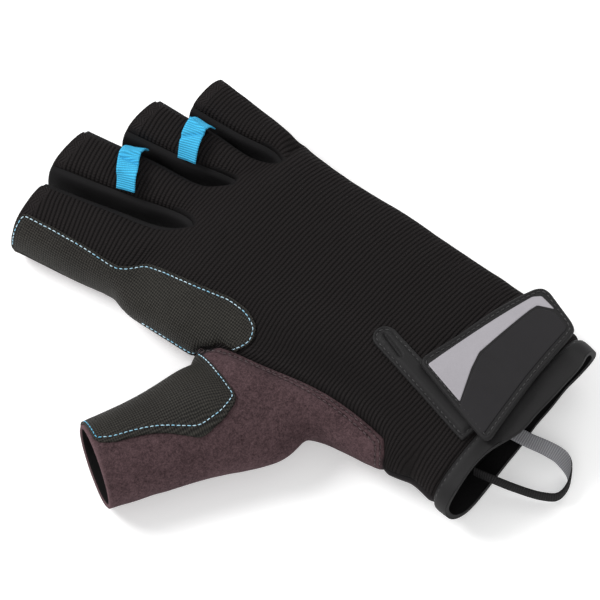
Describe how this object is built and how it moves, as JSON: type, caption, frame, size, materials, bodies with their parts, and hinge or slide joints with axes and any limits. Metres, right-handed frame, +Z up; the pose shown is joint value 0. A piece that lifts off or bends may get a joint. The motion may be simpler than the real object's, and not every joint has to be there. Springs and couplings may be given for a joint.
{
  "type": "climbing glove",
  "caption": "Fingerless climbing glove for the right hand, with a knit back, suede palm, grip patches, wrist strap, pull tabs and a hang loop, lying palm down.",
  "frame": {"origin": "on the ground under the hollow of the palm, level with the flat of the palm that the glove lies on", "axes": "+Y along the hand to the fingertips, +Z up out of the back of the hand, the thumb towards -X"},
  "size_m": [0.1543, 0.211, 0.0332],
  "materials": {
    "knit": "ribbed knit",
    "suede": "napped",
    "gusset": "smooth weave",
    "grip": "fine woven grain",
    "trim": "soft sheen",
    "silver": "satin",
    "panel": "satin",
    "blue_tape": "woven tape",
    "grey_tape": "woven tape"
  },
  "bodies": {
    "root": {"knit_back": "knit", "palm_suede": "suede", "thumb_suede": "suede", "gusset_index_middle": "gusset", "gusset_middle_ring": "gusset", "gusset_ring_little": "gusset", "index_grip_patch": "grip", "thumb_grip_patch": "grip", "pull_tab_middle": "blue_tape", "pull_tab_ring": "blue_tape", "slit_binding": "trim", "cuff_binding": "trim", "wrist_strap": "trim", "reflective_patch": "silver", "strap_panel": "panel", "hang_loop": "grey_tape"}
  },
  "joints": []
}
